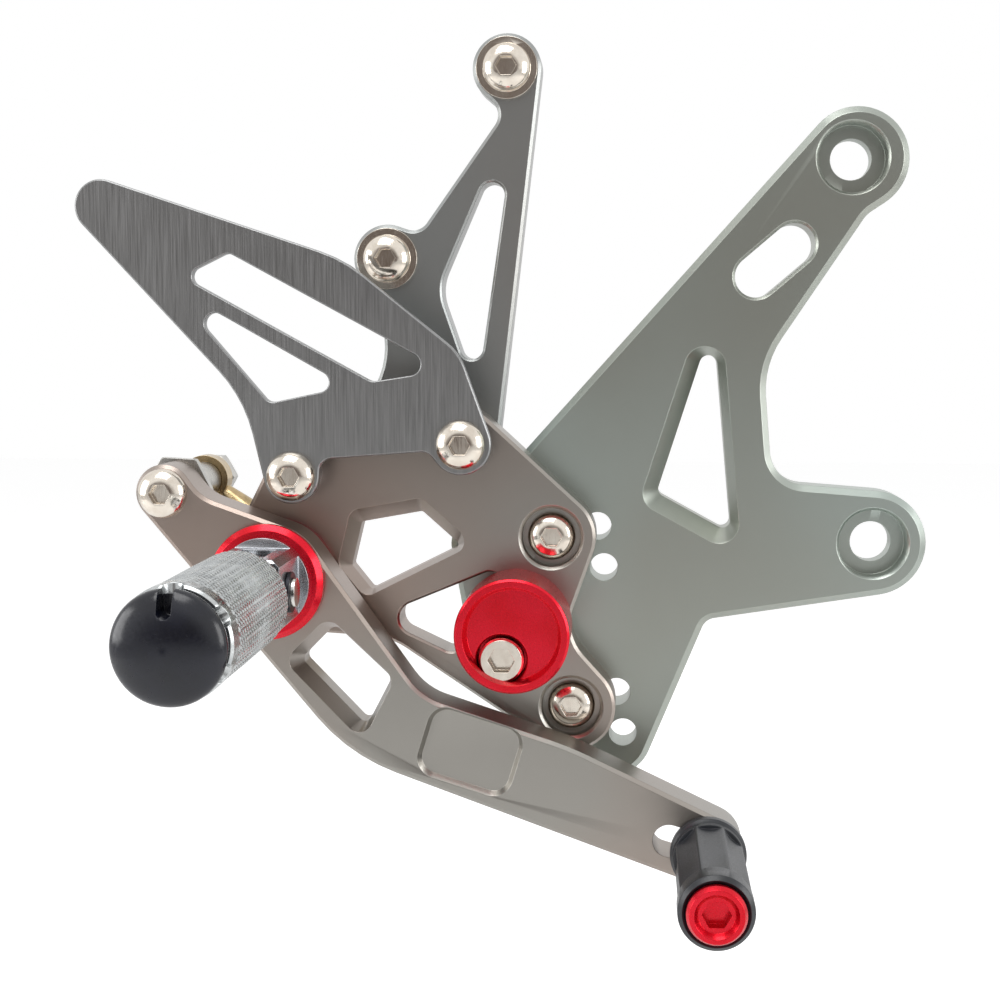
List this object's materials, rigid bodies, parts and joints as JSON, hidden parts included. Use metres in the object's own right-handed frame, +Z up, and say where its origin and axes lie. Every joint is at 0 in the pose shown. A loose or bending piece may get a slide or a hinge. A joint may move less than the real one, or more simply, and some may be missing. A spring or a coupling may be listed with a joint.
{
  "type": "motorcycle rear set footrest, brake side",
  "caption": "Brake side rear set: milled plates, heel guard, brake pedal with toe peg, red pedal stop, pushrod and a folding knurled footpeg.",
  "frame": {"origin": "axis of the upper frame bolt, on the mounting face at the back of the frame plate", "axes": "+X forward along the motorcycle, +Z up, -Y outboard, away from the motorcycle, where the footpeg points"},
  "size_m": [0.1844, 0.1264, 0.1838],
  "materials": {
    "frame_aluminium": "anodised, satin",
    "grey_aluminium": "milled and anodised, satin",
    "guard_aluminium": "brushed and anodised",
    "red_aluminium": "anodised, satin",
    "dark_red_aluminium": "anodised, satin",
    "spacer_aluminium": "turned and anodised",
    "clevis_aluminium": "milled and anodised, satin",
    "barrel_aluminium": "knurled, clear anodised",
    "stainless": "polished",
    "plated_steel": "zinc plated",
    "pin_steel": "polished",
    "spring_steel": "blackened",
    "yellow_zinc": "yellow zinc plated",
    "bronze": "turned",
    "black_sleeve": "moulded, satin",
    "black_cap": "moulded, smooth"
  },
  "bodies": {
    "root": {"frame_plate": "frame_aluminium", "carrier_plate": "grey_aluminium", "carrier_bolt_upper": "stainless", "carrier_bolt_lower": "stainless", "heel_guard": "guard_aluminium", "guard_spacer_front": "spacer_aluminium", "guard_spacer_rear": "spacer_aluminium", "guard_bolt_front": "stainless", "guard_bolt_rear": "stainless", "cylinder_bracket": "grey_aluminium", "cylinder_bolt_top": "stainless", "cylinder_bolt_rear": "stainless", "pedal_spacer": "dark_red_aluminium", "pedal_flange": "red_aluminium", "pivot_bolt": "stainless", "pivot_washer": "plated_steel", "peg_clevis": "clevis_aluminium", "hinge_pin": "pin_steel", "hinge_clip": "spring_steel", "pedal_stop": "red_aluminium", "stop_screw": "stainless"},
    "pedal": {"brake_pedal": "grey_aluminium", "pedal_bush": "bronze", "toe_sleeve": "black_sleeve", "toe_bolt": "red_aluminium", "toe_nut": "plated_steel", "eye_bolt": "stainless", "eye_spacer": "plated_steel", "rod_ball": "pin_steel", "eye_nut": "plated_steel"},
    "footpeg": {"footpeg_barrel": "barrel_aluminium", "footpeg_cap": "black_cap", "fold_spring": "spring_steel"},
    "pushrod": {"rod_end": "yellow_zinc", "lock_nut": "yellow_zinc", "rod_stud": "yellow_zinc"}
  },
  "joints": [
    {"name": "pedal_pivot", "type": "hinge", "parent": "root", "child": "pedal", "pos_m": [-0.125, -0.028, -0.0908], "axis": [0, 1, 0], "range_deg": [-6.8, 12]},
    {"name": "peg_fold", "type": "hinge", "parent": "root", "child": "footpeg", "pos_m": [-0.125, -0.049, -0.0908], "axis": [-1, 0, 0], "range_deg": [0, 75], "stiffness_Nm_per_rad": 0.25, "springref_deg": -17.19},
    {"name": "rod_swing", "type": "hinge", "parent": "pedal", "child": "pushrod", "pos_m": [-0.1475, 0.0034, -0.0721], "axis": [0, 1, 0], "range_deg": [-75, 25]}
  ]
}
